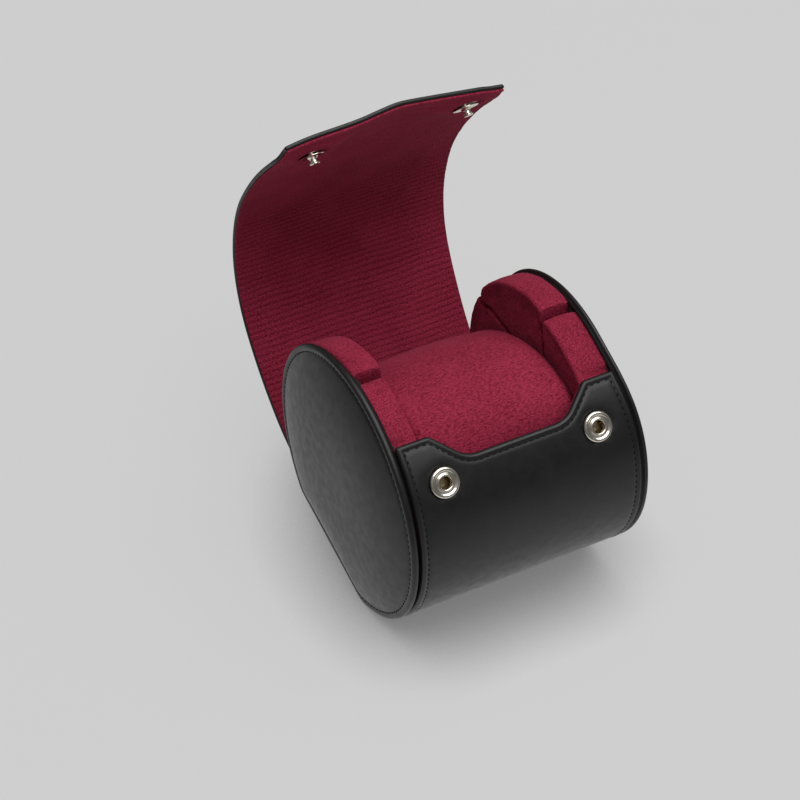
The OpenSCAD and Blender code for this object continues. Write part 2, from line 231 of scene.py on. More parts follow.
def skin(name, top, bottom, x, run, rounded, material, valley_and_painted_shade=None):
    """Closes two grids of points over x and run into one skin; a fully rounded edge is one line of points.

    A first or last row whose points aren't shared is closed by a flat cap with crisp edges.
    """
    shared = rounded > 0.999
    uv = np.stack([x, run], axis=-1)
    rows, cols = shared.shape
    top_at = np.arange(rows * cols).reshape(rows, cols)
    bottom_at = top_at.copy()
    bottom_at[~shared] = rows * cols + np.arange(np.count_nonzero(~shared))
    points = np.concatenate([top.reshape(-1, 3), bottom[~shared]])
    places = np.concatenate([uv.reshape(-1, 2), uv[~shared]])
    if valley_and_painted_shade is not None:
        valley_and_painted_shade = np.concatenate([valley_and_painted_shade.ravel(), 0 * valley_and_painted_shade[~shared]])
    faces = grid_faces(top_at) + grid_faces(bottom_at[:, ::-1])
    sharp = np.zeros(len(points), bool)
    for row, turn in ((0, -1), (rows - 1, 1)):
        if not shared[row].all():
            over, under = top_at[row, ::turn], bottom_at[row, ::turn]
            cap = np.stack([over[:-1], over[1:], under[1:], under[:-1]], axis=1)
            faces += [list(dict.fromkeys(face)) for face in cap.tolist()]
            sharp[over] = sharp[under] = True
    return piece(name, points, faces, material, uv=places, sharp=sharp, valley_and_painted_shade=valley_and_painted_shade)


def tube_faces(count, around):
    """Faces over rings of points: quads between the rings, and a fan to one more point at each end."""
    at = np.arange(count * around).reshape(count, around)
    faces = grid_faces(at, around=True)
    for row, pole in ((at[0][::-1], count * around), (at[-1], count * around + 1)):
        faces += np.stack([row, np.roll(row, -1), np.full(around, pole)], axis=1).tolist()
    return faces


def tube(name, rings, material, valley_and_painted_shade=None):
    """A closed skin over rings of equally many points, with a point at the middle of each end."""
    points = np.concatenate([rings.reshape(-1, 3), rings[[0, -1]].mean(axis=1)])
    if valley_and_painted_shade is not None:
        valley_and_painted_shade = np.append(valley_and_painted_shade.ravel(), (0, 0))
    return piece(name, points, tube_faces(*rings.shape[:2]), material, valley_and_painted_shade=valley_and_painted_shade)


def carried(profile, origin, axis, side, around):
    """Rings of a (radius, height) profile carried round an axis from origin; side is square to the axis."""
    turn = once_round(around)
    other = np.cross(axis, side)
    spoke = np.cos(turn)[:, None] * side + np.sin(turn)[:, None] * other
    profile = np.array(profile, float)
    return origin + profile[:, 0, None, None] * spoke + profile[:, 1, None, None] * axis


def arc(middle, radius, start, end, steps):
    """Points of (radius, height) on an arc, from one angle to another."""
    at = np.radians(np.linspace(start, end, steps + 1))
    return np.stack([middle[0] + radius * np.cos(at), middle[1] + radius * np.sin(at)], axis=1).tolist()


# ---- finishes

RANGE_SOCKETS = ("From Min", "From Max", "To Min", "To Max")


class Finish:
    """A Principled material, its patterns laid in millimetres on Object coordinates or the strip's map."""

    def __init__(self, name, strip=False, **sockets):
        self.material = bpy.data.materials.new(name)
        self.material.use_nodes = True
        self.nodes = self.material.node_tree.nodes
        self.links = self.material.node_tree.links
        self.shader = self.nodes["Principled BSDF"]
        for socket, value in sockets.items():
            self.shader.inputs[socket.replace("_", " ")].default_value = value
        if strip:
            place = self.nodes.new("ShaderNodeUVMap")
            place.uv_map = "strip"
            self.place = place.outputs["UV"]
        else:
            self.place = self.nodes.new("ShaderNodeTexCoord").outputs["Object"]

    def noise(self, size, detail=2.0, scale=(1, 1, 1)):
        """Cloudy noise whose patches are about size wide, over a place scaled along each axis."""
        scaled = self.nodes.new("ShaderNodeMapping")
        scaled.inputs["Scale"].default_value = scale
        self.links.new(self.place, scaled.inputs["Vector"])
        node = self.nodes.new("ShaderNodeTexNoise")
        node.inputs["Scale"].default_value = 1 / (size * MM)
        node.inputs["Detail"].default_value = detail
        self.links.new(scaled.outputs["Vector"], node.inputs["Vector"])
        return node.outputs["Fac"]

    def cells(self, size):
        """Distance to the nearest border of a cell pattern."""
        node = self.nodes.new("ShaderNodeTexVoronoi")
        node.feature = "DISTANCE_TO_EDGE"
        node.inputs["Scale"].default_value = 1 / (size * MM)
        self.links.new(self.place, node.inputs["Vector"])
        return node.outputs["Distance"]

    def math(self, operation, a, b):
        """The sum, product or other operation of two values, each a number or another node's output."""
        node = self.nodes.new("ShaderNodeMath")
        node.operation = operation
        for socket, value in zip(node.inputs, (a, b)):
            if isinstance(value, (int, float)):
                socket.default_value = value
            else:
                self.links.new(value, socket)
        return node.outputs["Value"]

    def range(self, value, low, high, start=0.3, end=0.7):
        """A value from start to end, laid on a range from low to high."""
        node = self.nodes.new("ShaderNodeMapRange")
        self.links.new(value, node.inputs["Value"])
        for socket, number in zip(RANGE_SOCKETS, (start, end, low, high)):
            node.inputs[socket].default_value = number
        return node.outputs["Result"]

    def colours(self, value, low, high, start=0.3, end=0.7):
        """A colour from low to high as the value goes from start to end."""
        node = self.nodes.new("ShaderNodeValToRGB")
        for element, place, colour in zip(node.color_ramp.elements, (start, end), (low, high)):
            element.position = place
            element.color = (*colour, 1)
        self.links.new(value, node.inputs["Fac"])
        return node.outputs["Color"]

    def to(self, socket, value):
        """Leads a value to one of the shader's sockets."""
        self.links.new(value, self.shader.inputs[socket])

    def bump(self, height, depth, strength=1.0):
        """Raises the surface by height times depth, over any bump laid before."""
        node = self.nodes.new("ShaderNodeBump")
        node.inputs["Strength"].default_value = strength
        node.inputs["Distance"].default_value = depth * MM
        self.links.new(height, node.inputs["Height"])
        normal = self.shader.inputs["Normal"]
        if normal.is_linked:
            self.links.new(normal.links[0].from_socket, node.inputs["Normal"])
        self.links.new(node.outputs["Normal"], normal)


def leather(name, strip=False):
    """Smooth black calf: a fine pebble of cells over soft creases, a little duller where it was handled."""
    made = Finish(name, strip, IOR=1.47)
    broad = made.noise(9, detail=3)
    made.to("Base Color", made.colours(broad, (0.006, 0.006, 0.0062), (0.0095, 0.0094, 0.0092)))
    made.to("Roughness", made.range(made.noise(3, detail=4), 0.37, 0.47))
    made.bump(made.cells(0.6), 0.05, 0.45)
    made.bump(made.noise(0.3, detail=3), 0.02, 0.4)
    made.bump(made.noise(6, detail=2), 0.1, 0.35)
    return made.material


def suede(name, strip=False, nap=(1, 1, 1)):
    """Short burgundy pile of fine tufts, darker between them, with shade painted darker in pressed valleys,
    and a faint bloom.
    """
    made = Finish(name, strip, Roughness=0.95, Specular_IOR_Level=0.08, Sheen_Weight=0.12,
                  Sheen_Roughness=0.4, Sheen_Tint=(0.9, 0.2, 0.32, 1))
    tufts = made.noise(0.5, detail=3, scale=nap)
    patches = made.noise(14, detail=2)
    # Painted shade: the pile is darkened by the per-point value kept in valleys, seams, notches and creases
    valley_and_painted_shade = made.nodes.new("ShaderNodeAttribute")
    valley_and_painted_shade.attribute_name = "valley_and_painted_shade"
    mixed = made.math("ADD", made.math("MULTIPLY", tufts, 0.82), made.math("MULTIPLY", patches, 0.18))
    mixed = made.math("SUBTRACT", mixed, made.math("MULTIPLY", valley_and_painted_shade.outputs["Fac"], 0.15))
    made.to("Base Color", made.colours(mixed, (0.104, 0.0036, 0.0132), (0.322, 0.0285, 0.063), 0.3, 0.62))
    made.bump(tufts, 0.26, 0.75)
    made.bump(made.noise(1.7, detail=2, scale=nap), 0.14, 0.4)
    return made.material


def metal(name, colour, roughness):
    """Plated metal with faint polishing marks."""
    made = Finish(name, Metallic=1.0)
    made.to("Base Color", made.colours(made.noise(1.5), [0.88 * c for c in colour], colour))
    made.to("Roughness", made.range(made.noise(0.6, detail=3), roughness - 0.06, roughness + 0.06))
    made.bump(made.noise(0.35), 0.004, 0.5)
    return made.material


def thread(name, colour):
    """Waxed thread with a fine twist."""
    made = Finish(name, Roughness=0.75, Specular_IOR_Level=0.25)
    twist = made.noise(0.3, detail=2)
    made.to("Base Color", made.colours(twist, [0.6 * c for c in colour], [1.5 * c for c in colour]))
    made.bump(twist, 0.05, 0.7)
    return made.material


def board(name, colour):
    """Pressed fibre board, flecked and matt."""
    made = Finish(name, Roughness=0.85)
    made.to("Base Color", made.colours(made.noise(0.8, detail=4), [0.8 * c for c in colour], colour))
    made.bump(made.noise(0.4, detail=3), 0.05, 0.6)
    return made.material


LEATHER = leather("black_calf")
LEATHER_STRIP = leather("black_calf_strip", strip=True)
SUEDE = suede("burgundy_pile")
SUEDE_NAP = suede("burgundy_pile_brushed", nap=(0.5, 1.1, 1.1))
SUEDE_STRIP = suede("burgundy_pile_strip", strip=True)
NICKEL = metal("plated_nickel", (0.82, 0.77, 0.67), 0.2)
SPRING = metal("spring_wire", (0.5, 0.38, 0.22), 0.3)
THREAD = thread("black_thread", (0.003, 0.003, 0.003))
# Painted shade: the board is made nearly black so that the recesses where it shows look shaded
BOARD_BLACK_AS_SHADE = board("board_painted_black_for_shade", (0.012, 0.012, 0.012))

# ---- the strip

PATH_STEP = 0.25
COLUMN_W = 0.8

# Rounding of the drum's leather, the flap's leather and the suede
WRAP_EDGE = 1.1
FLAP_EDGE = 0.7
SUEDE_EDGE = 0.4

# A row this near to a cap keeps the shading even
CAP_ROW = 0.02


def pressed(world):
    """How far the drum is pressed flat at angles round its axis: the round's depth past a chord, eased."""
    over = ROLL_R * np.cos(world - FLAT_AT) - FLAT_D
    return FLAT_SOFT * np.log1p(np.exp(over / FLAT_SOFT))


def press(points, share=1.0):
    """Moves places on the drum in by a share of what the flat asks for."""
    depth = share * pressed(np.arctan2(points[..., 2] - AXIS_Z, points[..., 1]))
    points[..., 1] -= depth * math.cos(FLAT_AT)
    points[..., 2] -= depth * math.sin(FLAT_AT)
    return points


def spread(points):
    """Draws the drum's sides out, from a little way inside the stitches."""
    x, y = points[..., 0], points[..., 1]
    amount = np.where(x < 0, -LEFT_SPREAD, RIGHT_SPREAD * ease(-y, BULGE_FROM, ROLL_R))
    points[..., 0] += amount * ease(np.abs(x), SPREAD_FROM, SPREAD_TO)
    return points


def make_path():
    """The suede's face seen from the side: its runs, and its place and heading at each.

    Before the hinge it is the roll's inner circle with its flat. Beyond it, the place is the running sum of
    short steps along a heading that each panel turns evenly. A bell-weighted mean softens the fold.
    """
    round_drum, spare = 150, 20
    fold, bell_w = 12, 4
    run = np.arange(-round_drum, FLAP_LEN + spare, PATH_STEP)
    world = np.radians(HINGE_AT - LEAN) + run / INNER_R
    circle = INNER_R * np.stack([np.cos(world), np.sin(world)], axis=1)
    circle -= pressed(world)[:, None] * np.array([math.cos(FLAT_AT), math.sin(FLAT_AT)])
    starts = np.append(np.arange(len(PANEL_TURN)) * PANEL_LEN, FLAP_LEN)
    headings = np.radians(FLAP_START + np.append(0, np.cumsum(PANEL_TURN)))
    middle = np.interp(run + PATH_STEP / 2, starts, headings)
    steps = PATH_STEP * np.stack([np.cos(middle), np.sin(middle)], axis=1) * (run >= 0)[:, None]
    hinge = np.argmin(abs(run))
    flap = circle[hinge] + np.cumsum(steps, axis=0) - steps
    place = np.where((run < 0)[:, None], circle, flap)
    reach = np.arange(-fold, fold + PATH_STEP, PATH_STEP)
    bell = np.exp(-((reach / bell_w) ** 2) / 2)
    bell /= bell.sum()
    soft = np.stack([np.convolve(place[:, i], bell, mode="same") for i in (0, 1)], axis=1)
    place += (soft - place) * np.exp(-((run / fold) ** 2))[:, None]
    return run, place, unit(np.gradient(place, axis=0))


PATH_RUN, PATH_PLACE, PATH_HEADING = make_path()


def on_strip(x, run, depth):
    """Places on the strip; the depth is measured from the suede's face towards the leather."""
    y, z, along_y, along_z = (
        np.interp(run, PATH_RUN, column) for column in (*PATH_PLACE.T, *PATH_HEADING.T)
    )
    return np.stack([x + 0 * y, y + depth * along_z, AXIS_Z + z - depth * along_y], axis=-1)


def run_at(angle):
    """Run of the suede's face at an angle round the upright roll."""
    return np.radians(angle - HINGE_AT) * INNER_R


def wall(run):
    """Thickness of the strip: the drum's wall thins into the flap."""
    return WALL_T + (FLAP_T - WALL_T) * ease(run, FOLD_FROM, THIN_AT)


def half_width(run):
    """Half of the strip's width: the drum's, then the flap's, which flares to its free edge."""
    flap = ROOT_HALF + FLARE / 2 * run / FLAP_LEN
    return HALF_W + (flap - HALF_W) * ease(run, FOLD_FROM, NARROW_AT)


def near_edge(edge_r):
    """Distances from an edge: close together over its rounding and round the stitches, then wider."""
    rounding = edge_r * (1 - np.cos(np.radians(np.arange(0, 91, 15))))
    rounding = edge_r - rounding[::-1]
    steps = [1.5, 1.8, 2.05, STITCH_INSET, 2.55, 2.8, 3.2, 3.8]
    return np.concatenate([np.sort(rounding), [step for step in steps if step > edge_r + 0.1]])


def columns(edge_r):
    """Inset and share of each column, from left to right.

    x is the share of what the inset leaves of half the width.
    """
    near = near_edge(edge_r)
    inner = int(2 * (HALF_W - near[-1]) / COLUMN_W)
    share = np.linspace(-1, 1, inner + 2)[1:-1]
    inset = np.concatenate([near, np.full(inner, near[-1]), near[::-1]])
    return inset, np.concatenate([-np.ones(len(near)), share, np.ones(len(near))])


def roundness(inset, edge_r):
    """1 on an edge, falling to 0 where its rounding ends."""
    return np.clip(1 - inset / edge_r, 0, 1)


def shaped_end(edge, half, inset, share, edge_r, level, steps):
    """Rows of (x, y) from a shaped edge to a level line, and each point's roundness.

    The first rows keep a distance inside the edge, square to it. The rest slide evenly to the level line's
    columns. Where the edge and a side meet, a square as wide as their rounding becomes a quarter disc.
    """
    x = share * (half - inset)
    slope = (edge(x + 0.01) - edge(x - 0.01)) / 0.02
    length = np.sqrt(1 + slope**2)
    near = near_edge(edge_r)
    near = near[near < STITCH_INSET + 0.1][:, None]
    a, b = roundness(inset, edge_r)[None], roundness(near, edge_r)
    round_a, round_b = a * np.sqrt(1 - b**2 / 2), b * np.sqrt(1 - a**2 / 2)
    near_x = x + near * slope / length + (round_a - a) * edge_r * np.sign(share)
    near_y = edge(x) - near / length + (round_b - b) * edge_r
    slide = np.linspace(0, 1, steps + 1)[1:, None] ** 1.2
    far_x = near_x[-1] + (x - near_x[-1]) * slide
    far_y = near_y[-1] + (level - near_y[-1]) * slide
    rounded = np.concatenate([np.hypot(round_a, round_b), np.repeat(a, steps, axis=0)])
    return np.concatenate([near_x, far_x]), np.concatenate([near_y, far_y]), rounded


def lip_edge(x):
    """Height of the lip: level tabs at both sides, and a scoop whose slopes meet tab and floor in arcs."""
    x = np.abs(x)
    slope = math.radians(SCOOP_SLOPE)
    foot_from = FOOT_X - SCOOP_FOOT_R * math.tan(slope / 2)
    foot_run = SCOOP_FOOT_R * math.sin(slope)
    tab_to = TAB_X + TAB_R * math.tan(slope / 2)
    tab_run = TAB_R * math.sin(slope)
    foot = LIP_FOOT + SCOOP_FOOT_R - np.sqrt(SCOOP_FOOT_R**2 - np.clip(x - foot_from, 0, foot_run) ** 2)
    tab = LIP_TOP - TAB_R + np.sqrt(TAB_R**2 - np.clip(tab_to - x, 0, tab_run) ** 2)
    line = LIP_FOOT + (x - FOOT_X) * math.tan(slope)
    return np.where(x < foot_from + foot_run, foot, np.where(x > tab_to - tab_run, tab, line))


def lip_run(y):
    """Run of a height on the lip's view, which looks along the roll's radius."""
    return run_at(LIP_MID_AT - np.degrees(np.arcsin(y / ROLL_R)))


def lip_distance(x, run):
    """Distance of places on the wrap from the lip's edge; beyond what counts as near it stays far."""
    edge_x = np.linspace(-HALF_W, HALF_W, 400)
    edge_run = lip_run(lip_edge(edge_x))
    beyond = 6
    near = run < lip_run(LIP_FOOT) + beyond
    found = np.full(x.shape, FAR)
    stretch = ROLL_R / INNER_R
    gaps = np.hypot(x[near][:, None] - edge_x, (run[near][:, None] - edge_run) * stretch)
    found[near] = gaps.min(axis=1)
    return found


def groove(distance, depth=GROOVE_D):
    """Depth of the groove that the stitches pull into the leather at a distance from the edge."""
    return depth * np.exp(-(((distance - STITCH_INSET) / GROOVE_W) ** 2))


def snap_distance(x, run, middle_run, stretch):
    """Distance of places on the strip from the nearer snap."""
    return np.hypot(np.abs(x) - SNAP_X, (run - middle_run) * stretch)


def settle(points):
    """Lifts to the floor whatever would reach below it."""
    points[..., 2] = np.maximum(points[..., 2], 0)
    return points


# ---- drum

# Rows follow the lip down to a level line
WRAP_STEP = 1.0
WRAP_LEVEL = LIP_FOOT - 11
LIP_ROWS = 14

# A socket's seat and hole: depth, and the radii between which it rises
SEAT_D, SEAT_R = 0.3, (4.6, 7.5)
HOLE_D, HOLE_R = 1.75, (3.6, 4.5)

# The bead along the leather's edges, and how far the lining stops short of them
BEAD_H, BEAD_AT, BEAD_W = 0.14, 1.2, 0.55
LINING_DROP = 0.3


def wrap_grid(edge_r, drop):
    """x, run and roundness over the drum's part of the strip, with its edges drawn in by drop."""
    inset, share = columns(edge_r)
    x, y, rounded = shaped_end(
        lambda at: lip_edge(at) - drop, HALF_W - drop, inset, share, edge_r, WRAP_LEVEL, LIP_ROWS
    )
    run = np.append(np.arange(lip_run(WRAP_LEVEL) + WRAP_STEP, FOLD_FROM, WRAP_STEP), FOLD_FROM)
    run = np.insert(run, -1, FOLD_FROM - CAP_ROW)[:, None]
    even = share * (HALF_W - drop - inset)
    x = np.concatenate([x, np.repeat(even[None], len(run), axis=0)])
    rounded = np.concatenate([rounded, np.repeat(roundness(inset, edge_r)[None], len(run), axis=0)])
    return x, np.concatenate([lip_run(y), np.repeat(run, x.shape[1], axis=1)]), rounded


def make_wrap():
    """The drum's leather, turned over its edges, with a groove for its stitches and seats for sockets."""
    x, run, rounded = wrap_grid(WRAP_EDGE, 0)
    distance = np.minimum(HALF_W - np.abs(x), lip_distance(x, run))
    from_snap = snap_distance(x, run, run_at(SNAP_AT), ROLL_R / INNER_R)
    dip = groove(distance) + SEAT_D * (1 - ease(from_snap, *SEAT_R))
    dip += HOLE_D * (1 - ease(from_snap, *HOLE_R))
    middle = (LINING_T + WALL_T) / 2
    half = (WALL_T - LINING_T) / 2 * np.sqrt(1 - rounded**2)
    bead = BEAD_H * np.exp(-(((distance - BEAD_AT) / BEAD_W) ** 2))
    outer = spread(settle(on_strip(x, run, middle + half + (bead - dip) * (half > 0.5))))
    inner = spread(on_strip(x, run, middle - half))
    made = skin("wrap_leather_skin", inner, outer, x, run, rounded, LEATHER_STRIP)
    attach(made, "case")
    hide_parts("wrap_leather", "wrap_board")


def make_wrap_lining():
    """The suede inside the drum, a little smaller than the leather."""
    x, run, rounded = wrap_grid(SUEDE_EDGE, LINING_DROP)
    half = LINING_T / 2 * np.sqrt(1 - rounded**2)
    face = spread(on_strip(x, run, LINING_T / 2 - half))
    back = spread(on_strip(x, run, LINING_T / 2 + half))
    made = skin("wrap_lining_pile", face, back, x, run, rounded, SUEDE_STRIP)
    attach(made, "case")
    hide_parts("wrap_lining")


# ---- stitches


def stitches(name, middle, along, out):
    """One mesh of short threads: ellipses carried along their length, thinned and sunk at both ends."""
    rings, around = 6, 6
    share = np.linspace(-0.92, 0.92, rings)
    turn = once_round(around)
    thick = np.sqrt(1 - share**4)[:, None]
    side = np.cross(along, out)
    length = (STITCH_LEN / 2 * share)[:, None] + 0 * turn
    wide = THREAD_W * thick * np.cos(turn)
    high = THREAD_H * thick * np.sin(turn) + THREAD_UP - THREAD_SINK * (share**2)[:, None]
    body = middle[:, None, None]
    for direction, amount in ((along, length), (side, wide), (out, high)):
        body = body + direction[:, None, None] * amount[..., None]
    tips = middle[:, None] + np.array([-1, 1])[:, None] * STITCH_LEN / 2 * along[:, None]
    tips = tips - TIP_SINK * out[:, None]
    count = len(middle)
    faces = tube_faces(rings, around)
    points = np.concatenate([body.reshape(count, -1, 3), tips], axis=1)
    step = points.shape[1]
    every = [[corner + n * step for corner in face] for n in range(count) for face in faces]
    return piece(name, points.reshape(-1, 3), every, THREAD)


def strip_stitches(name, x, run, depth):
    """Stitches along places on the strip's leather side, each turned to the next."""
    place = spread(on_strip(x, run, depth))
    along = unit(np.gradient(place, axis=0))
    out = spread(on_strip(x, run, depth + 1)) - place
    out = unit(out - along * np.sum(out * along, axis=1)[:, None])
    above_floor = 0.25
    place[:, 2] = np.maximum(place[:, 2], above_floor)
    return stitches(name, place, along, out)


def spaced(x, run, stretch=1.0):
    """Places one stitch apart along a line of (x, run)."""
    length = np.append(0, np.cumsum(np.hypot(np.diff(x), np.diff(run) * stretch)))
    count = int(length[-1] / STITCH_PITCH)
    at = np.linspace(STITCH_PITCH / 2, length[-1] - STITCH_PITCH / 2, count)
    return np.interp(at, length, x), np.interp(at, length, run)


def make_wrap_stitches():
    """One row along the lip and one down each side of the drum."""
    edge_x = np.linspace(-HALF_W + STITCH_INSET, HALF_W - STITCH_INSET, 600)
    slope = (lip_edge(edge_x + 0.01) - lip_edge(edge_x - 0.01)) / 0.02
    length = np.sqrt(1 + slope**2)
    line_x = edge_x + STITCH_INSET * slope / length
    line_y = lip_edge(edge_x) - STITCH_INSET / length
    keep = np.maximum.accumulate(line_x) <= line_x
    lines = [(line_x[keep], lip_run(line_y[keep]))]
    down = np.linspace(lip_run(LIP_TOP - STITCH_INSET), FOLD_FROM, 200)
    for side in (-1, 1):
        lines.append((np.full(len(down), side * (HALF_W - STITCH_INSET)), down))
    for number, line in enumerate(lines):
        x, run = spaced(*line, stretch=ROLL_R / INNER_R)
        made = strip_stitches(f"wrap_stitches_{number + 1}", x, run, WALL_T - GROOVE_D)
        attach(made, "case")


# ---- ends

UP = np.array([0.0, 0.0, 1.0])
ROLL_MIDDLE = AXIS_Z * UP
POLE_R = 0.5

# The rim's thickness at the left and the right end, and the crown that swells inside it
RIM_T = {-1: 2.8, 1: 1.8}
CROWN_H = 5.0
CROWN_POWER = 3.2

# The ring of stitches and its trough, as steps outwards and along the axis
RING_R = ROLL_R - STITCH_INSET
RING_DIP = 0.22
TROUGH_IN = 0.55
TROUGH = ((-0.3, -0.2), (0, -0.26), (0.3, -0.2), (0.7, -0.02))

# The rolled bead against the drum, and the flange behind it that closes on the wall
BEAD_GAP = 0.3
FLANGE_W = 1.4
FLANGE_FOOT = 1.6
FLANGE_LAP = 0.04
END_BACK = 1.4


def end_profile(rim_x):
    """Radius and distance from the middle: a crown, the stitched trough, the rolled bead, flange and back.

    The crown falls by a power of the radius, which leaves its middle nearly level and its edge steep.
    """
    crown_r = RING_R - TROUGH_IN
    radius = np.linspace(POLE_R, crown_r, 46)
    crown = [(r, rim_x + CROWN_H * (1 - (r / crown_r) ** CROWN_POWER)) for r in radius]
    trough = [(RING_R + outwards, rim_x + along) for outwards, along in TROUGH]
    bead_r = 0.48 * (rim_x - END_X - BEAD_GAP)
    bead = arc((ROLL_R - bead_r, rim_x - bead_r), bead_r, 90, -70, 14)
    rim_in = ROLL_R - 1.3 * bead_r
    lap_x, back_x = HALF_W - FLANGE_LAP, END_X + END_BACK
    flange = [(rim_in, rim_x - 2 * bead_r), (rim_in, lap_x), (rim_in - FLANGE_W, lap_x)]
    return crown + trough + bead + flange + [(rim_in - FLANGE_FOOT, back_x), (POLE_R, back_x)]


def follow(points):
    """A place on an end follows the drum's bulge, and its flat the more, the nearer it lies to the rim."""
    radius = np.hypot(points[..., 1], points[..., 2] - AXIS_Z)
    return spread(press(points, ease(radius, FOLLOW_FROM, RING_R)))


def turned(name, profile, side, material, around, change):
    """A profile turned about the roll's axis on one side, moved by change and kept above the floor."""
    rings = carried(profile, ROLL_MIDDLE, np.array([side, 0.0, 0.0]), UP, around)
    made = tube(name, rings, material)
    place = np.zeros(len(made.data.vertices) * 3, np.float32)
    made.data.vertices.foreach_get("co", place)
    place = settle(change(place.reshape(-1, 3) / MM)) * MM
    made.data.vertices.foreach_set("co", place.ravel())
    return made


def make_end(name, side):
    """A leather end that follows the drum, and its ring of stitches."""
    axis = np.array([side, 0.0, 0.0])
    rim_x = END_X + RIM_T[side]
    made = turned(f"end_leather_{name}", end_profile(rim_x), side, LEATHER, 240, follow)
    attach(made, "case")
    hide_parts(f"end_cover_{name}", f"end_foam_{name}")
    turn = once_round(int(2 * math.pi * RING_R / STITCH_PITCH))
    spoke = np.stack([0 * turn, np.cos(turn), np.sin(turn)], axis=1)
    middle = follow(ROLL_MIDDLE + RING_R * spoke + (rim_x - RING_DIP) * axis)
    along = unit(np.roll(middle, -1, axis=0) - np.roll(middle, 1, axis=0))
    sewn = stitches(f"end_stitches_{name}", middle, along, np.repeat(axis[None], len(turn), axis=0))
    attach(sewn, "case")


# ---- pads

PAD_FACE = {-1: END_X - 8.6, 1: END_X - 10.9}
ARCH_R = 44.3
FRONT_R = 41.6
BACK_R = 43.6
FRONT_NOTCH = 123.2
BACK_NOTCH = 62
NOTCH_W = 1.8
NOTCH_D = 5
PAD_EDGE = 1.3
PAD_CROWN = 0.6
PAD_BACK = END_X - 0.02
UNDER_R = INNER_R - 0.1

# Angles past the flap's root between which the back block rises, and the front block's rise to the end
ROOT_AT = HINGE_AT - 360
RAMP = (18, 41)
BLOCK_RISE = 1.7

# Seams sewn into each pad's inner face, as (Y, Z) from the roll's axis
SEAM_D, SEAM_W = 1.2, 0.65
FRONT_DART = ((-1.6, 38.1), (-3.2, 33.1), (-4.2, 27.7))
BACK_DART = ((37.8, 20.2), (35.8, 19.6), (28, 22), (22.8, 21.7), (13, 20.8))


def pad_radius(angle):
    """A pad's outline: the raised arch between two notches, and a lower block before and behind it."""
    front, back = FRONT_NOTCH, BACK_NOTCH
    notch = math.degrees(NOTCH_W / 2 / ARCH_R)
    mouth_d, mouth_soft = 0.8, 1.2
    rise = UNDER_R + (BACK_R - UNDER_R) * ease(angle, ROOT_AT + RAMP[0], ROOT_AT + RAMP[1])
    radius = rise + (ARCH_R - BACK_R) * ease(angle, back - 0.5, back + 0.5)
    radius += (FRONT_R - ARCH_R) * ease(angle, front - 0.5, front + 0.5)
    radius += (UNDER_R - FRONT_R) * ease(angle, TAB_AT - 1, TAB_AT)
    for at in (back, front):
        away = np.abs(angle - at)
        radius -= (NOTCH_D - mouth_d) * (1 - ease(away, 0.25 * notch, 1.3 * notch))
        radius -= mouth_d * (1 - ease(away, 0.5 * notch, 3 * notch + mouth_soft))
    return radius


def line_distance(y, z, line):
    """Distance of places from a line of straight stretches."""
    best = np.full(y.shape, FAR)
    for (y0, z0), (y1, z1) in zip(line, line[1:]):
        dy, dz = y1 - y0, z1 - z0
        share = np.clip(((y - y0) * dy + (z - z0) * dz) / (dy * dy + dz * dz), 0, 1)
        best = np.minimum(best, np.hypot(y - y0 - share * dy, z - z0 - share * dz))
    return best


def pad_angles():
    """Angles round a pad, close together at the notches."""
    whole = np.arange(ROOT_AT, ROOT_AT + 360, 0.9)
    fine = [np.arange(at - 4, at + 4, 0.15) for at in (BACK_NOTCH, FRONT_NOTCH)]
    return np.unique(np.concatenate([whole, *fine]))


